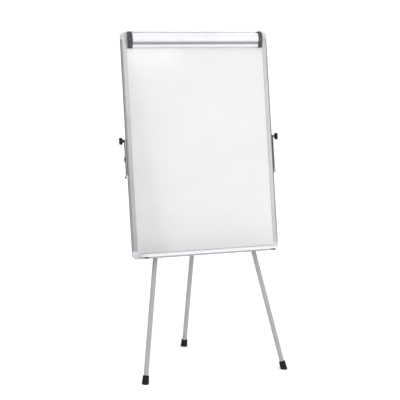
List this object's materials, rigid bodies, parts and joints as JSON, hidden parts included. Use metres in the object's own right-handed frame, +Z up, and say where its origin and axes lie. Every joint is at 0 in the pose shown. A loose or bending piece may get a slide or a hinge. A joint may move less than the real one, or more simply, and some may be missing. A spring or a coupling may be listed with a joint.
{
  "type": "flipchart easel",
  "caption": "Leaning white writing board in a rounded aluminium frame, with a paper clamp, a pen tray and side arms, on a telescoping tripod.",
  "frame": {"origin": "middle of the whole easel's box, on the floor", "axes": "+X to the right seen from the front, +Y to the rear foot, +Z up; the writing side faces -Y and leans back"},
  "size_m": [0.7584, 0.522, 1.4907],
  "materials": {
    "white_sheet": "gloss white lacquered steel",
    "board_core": "raw",
    "back_sheet": "satin grey",
    "frame_aluminium": "fine anodised",
    "grey_plastic": "fine moulded grain",
    "clamp_white": "satin white",
    "clamp_aluminium": "anodised",
    "soft_strip": "matt",
    "black_plastic": "fine moulded grain",
    "tray_white": "satin white",
    "leg_lacquer": "light grey powder lacquer",
    "zinc_steel": "zinc plated",
    "arm_steel": "brushed grey",
    "rubber": "matt"
  },
  "bodies": {
    "board_and_frame": {"arm_screws": "zinc_steel", "arm_spacers": "black_plastic", "back_sheet": "back_sheet", "board_core": "board_core", "bracket_nuts": "zinc_steel", "bracket_screws": "zinc_steel", "clamp_base": "clamp_aluminium", "clamp_end_cap_left": "black_plastic", "clamp_end_cap_right": "black_plastic", "clamp_hinge_pins": "zinc_steel", "clamp_springs": "zinc_steel", "corner_cap_bottom_left": "grey_plastic", "corner_cap_bottom_right": "grey_plastic", "corner_cap_top_left": "grey_plastic", "corner_cap_top_right": "grey_plastic", "cross_bar": "leg_lacquer", "frame_rail_bottom": "frame_aluminium", "frame_rail_left": "frame_aluminium", "frame_rail_right": "frame_aluminium", "frame_rail_top": "frame_aluminium", "front_collars": "black_plastic", "leg_left_tube": "leg_lacquer", "leg_right_tube": "leg_lacquer", "leg_saddles": "black_plastic", "leg_top_caps": "black_plastic", "panel_screws": "zinc_steel", "pen_tray": "tray_white", "rear_hinge_bracket": "leg_lacquer", "rear_hinge_pins": "zinc_steel", "top_bracket": "leg_lacquer", "tray_bumpers": "rubber", "writing_sheet": "white_sheet"},
    "clamp_jaw": {"clamp_bar": "clamp_white", "clamp_grip_strip": "soft_strip"},
    "hook_left": {"pad_hook_left": "zinc_steel"},
    "hook_right": {"pad_hook_right": "zinc_steel"},
    "arm_left": {"side_arm_left": "arm_steel", "arm_catch_left": "grey_plastic", "arm_peg_left": "black_plastic", "arm_thumb_tab": "arm_steel"},
    "arm_right": {"side_arm_right": "arm_steel", "arm_catch_right": "grey_plastic", "arm_peg_right": "black_plastic"},
    "arm_knob_left": {"arm_knob_left": "black_plastic"},
    "arm_knob_right": {"arm_knob_right": "black_plastic"},
    "lower_leg_left": {"leg_left_inner": "leg_lacquer", "leg_left_bush": "black_plastic", "leg_left_foot": "rubber"},
    "lower_leg_right": {"leg_right_inner": "leg_lacquer", "leg_right_bush": "black_plastic", "leg_right_foot": "rubber"},
    "lock_knob_left": {"leg_left_lock_knob": "black_plastic"},
    "lock_knob_right": {"leg_right_lock_knob": "black_plastic"},
    "rear_leg": {"rear_leg_head": "black_plastic", "rear_leg_tube": "leg_lacquer", "rear_collar": "black_plastic"},
    "rear_lower_leg": {"rear_leg_inner": "leg_lacquer", "rear_leg_bush": "black_plastic", "rear_leg_foot": "rubber"},
    "rear_lock_knob": {"rear_leg_lock_knob": "black_plastic"}
  },
  "joints": [
    {"name": "clamp_opening", "type": "hinge", "parent": "board_and_frame", "child": "clamp_jaw", "pos_m": [0, 0.13723, 1.48005], "axis": [-1, 0, 0], "range_deg": [0, 50], "stiffness_Nm_per_rad": 0.6, "springref_deg": -20.05},
    {"name": "hook_left_slide", "type": "slide", "parent": "board_and_frame", "child": "hook_left", "axis": [-1, 0, 0], "range_m": [-0.06, 0.09]},
    {"name": "hook_right_slide", "type": "slide", "parent": "board_and_frame", "child": "hook_right", "axis": [1, 0, 0], "range_m": [-0.06, 0.09]},
    {"name": "arm_left_swing", "type": "hinge", "parent": "board_and_frame", "child": "arm_left", "pos_m": [-0.3522, 0.04039, 1.02135], "axis": [-1, 0, 0], "range_deg": [0, 175]},
    {"name": "arm_knob_left_turn", "type": "hinge", "parent": "board_and_frame", "child": "arm_knob_left", "pos_m": [-0.3522, 0.04039, 1.02135], "axis": [-1, 0, 0], "continuous": true},
    {"name": "arm_right_swing", "type": "hinge", "parent": "board_and_frame", "child": "arm_right", "pos_m": [0.3522, 0.04039, 1.02135], "axis": [-1, 0, 0], "range_deg": [0, 175]},
    {"name": "arm_knob_right_turn", "type": "hinge", "parent": "board_and_frame", "child": "arm_knob_right", "pos_m": [0.3522, 0.04039, 1.02135], "axis": [1, 0, 0], "continuous": true},
    {"name": "leg_left_extend", "type": "slide", "parent": "board_and_frame", "child": "lower_leg_left", "axis": [-0.1726, -0.3285, -0.9286], "range_m": [-0.5, 0.2]},
    {"name": "lock_knob_left_turn", "type": "hinge", "parent": "board_and_frame", "child": "lock_knob_left", "pos_m": [-0.22751, -0.04742, 0.55703], "axis": [-0.0163, 0.9436, -0.3308], "continuous": true},
    {"name": "leg_right_extend", "type": "slide", "parent": "board_and_frame", "child": "lower_leg_right", "axis": [0.1726, -0.3285, -0.9286], "range_m": [-0.5, 0.2]},
    {"name": "lock_knob_right_turn", "type": "hinge", "parent": "board_and_frame", "child": "lock_knob_right", "pos_m": [0.22751, -0.04742, 0.55703], "axis": [0.0163, 0.9436, -0.3308], "continuous": true},
    {"name": "rear_leg_fold", "type": "hinge", "parent": "board_and_frame", "child": "rear_leg", "pos_m": [0, 0.04477, 0.84505], "axis": [-1, 0, 0], "range_deg": [0, 21.5]},
    {"name": "rear_leg_extend", "type": "slide", "parent": "rear_leg", "child": "rear_lower_leg", "axis": [0, 0.1487, -0.9889], "range_m": [-0.05, 0.16]},
    {"name": "rear_lock_knob_turn", "type": "hinge", "parent": "rear_leg", "child": "rear_lock_knob", "pos_m": [0, 0.09769, 0.49301], "axis": [0, 0.9889, 0.1487], "continuous": true}
  ]
}
